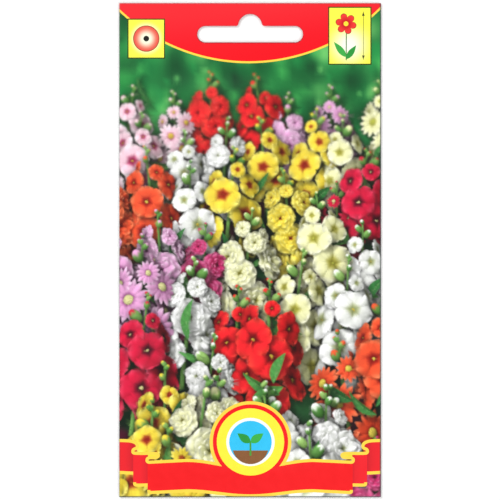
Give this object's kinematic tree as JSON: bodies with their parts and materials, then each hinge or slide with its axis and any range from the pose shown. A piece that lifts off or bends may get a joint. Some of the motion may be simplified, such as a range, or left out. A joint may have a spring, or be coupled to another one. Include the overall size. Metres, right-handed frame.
{
  "type": "flower seed packet",
  "caption": "Flat sealed packet of laminated paper with a euro hang slot, printed with flowers, holding a small sachet of seeds.",
  "frame": {"origin": "under the middle of the packet, on the surface that it lies on", "axes": "+Z out of the printed face, +Y along the packet towards its header and slot, +X to the right of the printed face"},
  "size_m": [0.08, 0.151, 0.002],
  "materials": {
    "printed_laminate": "glossy film over a four-colour print on white paper",
    "back_laminate": "glossy film over white paper",
    "glassine": "smooth translucent glassine",
    "seed_coat": "dull, netted seed coat"
  },
  "bodies": {
    "root": {"front_web": "printed_laminate", "back_web": "back_laminate", "sachet_front": "glassine", "sachet_back": "glassine", "seeds": "seed_coat"}
  },
  "joints": []
}
